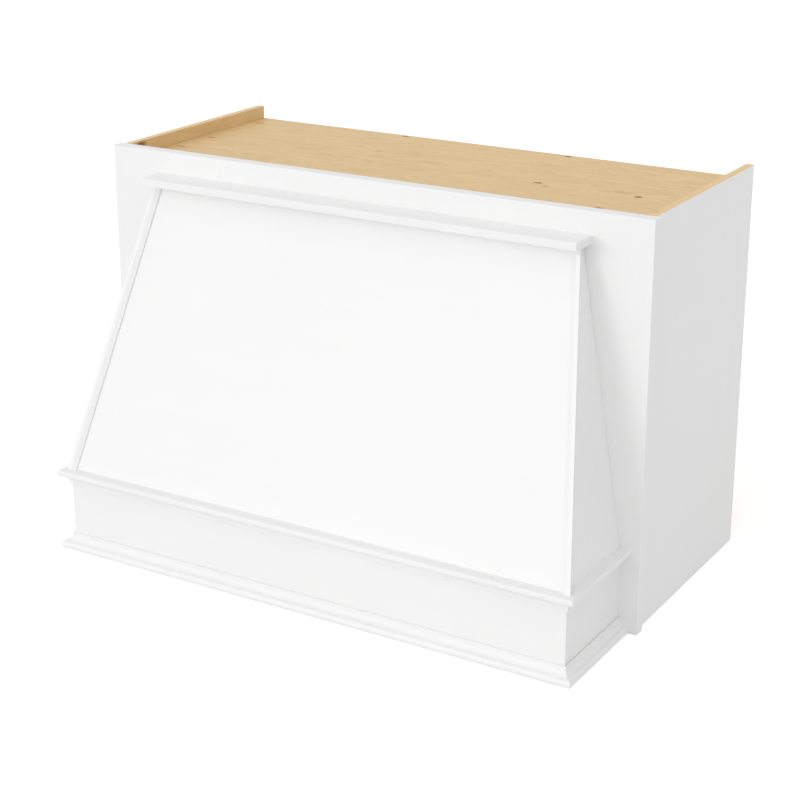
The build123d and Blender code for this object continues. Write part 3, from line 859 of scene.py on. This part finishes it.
class HOOD_OT_stage(bpy.types.Operator):
    """Lay the floor, light the room and set up the camera"""

    bl_idname = "hood.stage"
    bl_label = "Stage"

    def execute(self, context):
        settings = context.scene.hood_stage
        self.lay_floor(settings)
        self.light_room(settings)
        self.aim_key(settings)
        self.aim_camera(settings)
        context.scene.view_settings.view_transform = "Standard"
        return {"FINISHED"}

    def lay_floor(self, settings):
        """A matt floor that shows white and can be looked through from below."""
        shape = bmesh.new()
        bmesh.ops.create_grid(shape, x_segments=8, y_segments=8, size=settings.floor_size / 2)
        bmesh.ops.translate(shape, verts=shape.verts, vec=(0, 0, -FLOOR_GAP))
        mesh = bpy.data.meshes.new("floor")
        shape.to_mesh(mesh)
        shape.free()
        floor = bpy.data.objects.new("floor", mesh)
        bpy.context.scene.collection.objects.link(floor)
        matt = Finish("floor_white")
        speckle = matt.noise(matt.place, 160)
        matt.set(
            Base_Color=matt.blend(speckle, rgba((0.79,) * 3), rgba((0.81,) * 3)),
            Roughness=0.9,
            Specular_IOR_Level=0.1,
            Emission_Color=rgba((1, 1, 1)),
            Emission_Strength=matt.math("MULTIPLY", matt.seen_directly(), settings.floor_glow),
        )
        two_sided = matt.node("MixShader")
        matt.feed(two_sided.inputs[0], matt.node("NewGeometry").outputs["Backfacing"])
        matt.feed(two_sided.inputs[1], matt.shader.outputs["BSDF"])
        matt.feed(two_sided.inputs[2], matt.node("BsdfTransparent").outputs["BSDF"])
        matt.feed(matt.output.inputs["Surface"], two_sided.outputs["Shader"])
        mesh.materials.append(matt.material)

    def light_room(self, settings):
        """Even light from all round, brighter from the front, before a white background."""
        world = bpy.data.worlds.new("studio")
        bpy.context.scene.world = world
        world.use_nodes = True
        sky = Wiring(world.node_tree)
        compass = sky.node("TexCoord").outputs["Generated"]
        lean = sky.vector_math("DOT_PRODUCT", compass, (0, -settings.front_light, 0), "Value")
        room = sky.math("ADD", lean, settings.room_light)
        background = world.node_tree.nodes["Background"]
        sky.feed(background.inputs["Color"], rgba((1, 1, 1)))
        strength = sky.spread(sky.seen_directly(), 0.0, 1.0, room, 1.0)
        sky.feed(background.inputs["Strength"], strength)

    def aim_key(self, settings):
        """One soft low light from the front left."""
        lamp = bpy.data.lights.new("key", "SUN")
        lamp.energy = settings.key_light
        lamp.angle = settings.key_spread
        key = bpy.data.objects.new("key", lamp)
        bpy.context.scene.collection.objects.link(key)
        key.location = KEY_PLACE
        level_reach = cos(settings.key_height)
        towards = Vector(
            (
                sin(settings.key_turn) * level_reach,
                cos(settings.key_turn) * level_reach,
                -sin(settings.key_height),
            )
        )
        key.rotation_euler = towards.to_track_quat("-Z", "Y").to_euler()

    def aim_camera(self, settings):
        data = bpy.data.cameras.new("view")
        data.lens = settings.camera_lens
        data.sensor_width = CAMERA_SENSOR
        data.shift_y = settings.camera_shift
        data.clip_start, data.clip_end = CAMERA_CLIP
        camera = bpy.data.objects.new("view", data)
        camera.location = settings.camera_place
        camera.rotation_euler = settings.camera_turn
        bpy.context.scene.collection.objects.link(camera)
        bpy.context.scene.camera = camera


class HOOD_PT_cover(bpy.types.Panel):
    """Sizes, colours and steps of the hood cover"""

    bl_idname = "HOOD_PT_cover"
    bl_label = "Hood Cover"
    bl_space_type = "VIEW_3D"
    bl_region_type = "UI"
    bl_category = "Hood Cover"

    def draw(self, context):
        for group in GROUPS:
            settings = getattr(context.scene, group)
            for name in settings.bl_rna.properties.keys():
                if name not in ("rna_type", "name"):
                    self.layout.prop(settings, name)
        for operator in OPERATORS:
            self.layout.operator(operator.bl_idname)


GROUPS = {
    "hood_paint": HoodPaintSettings,
    "hood_maple": HoodMapleSettings,
    "hood_steel": HoodSteelSettings,
    "hood_stage": HoodStageSettings,
}
OPERATORS = (
    HOOD_OT_face_frame,
    HOOD_OT_side_panels,
    HOOD_OT_top_panel,
    HOOD_OT_inside_wood,
    HOOD_OT_apron,
    HOOD_OT_canopy,
    HOOD_OT_trims,
    HOOD_OT_mouldings,
    HOOD_OT_fasteners,
    HOOD_OT_stage,
)


def register():
    for kind in (*GROUPS.values(), *OPERATORS, HOOD_PT_cover):
        bpy.utils.register_class(kind)
    for name, kind in GROUPS.items():
        setattr(bpy.types.Scene, name, bpy.props.PointerProperty(type=kind))


def unregister():
    for name in GROUPS:
        delattr(bpy.types.Scene, name)
    for kind in reversed((*GROUPS.values(), *OPERATORS, HOOD_PT_cover)):
        bpy.utils.unregister_class(kind)


def main():
    register()
    for operator in OPERATORS:
        category, name = operator.bl_idname.split(".")
        getattr(getattr(bpy.ops, category), name)()


if __name__ == "__main__":
    main()
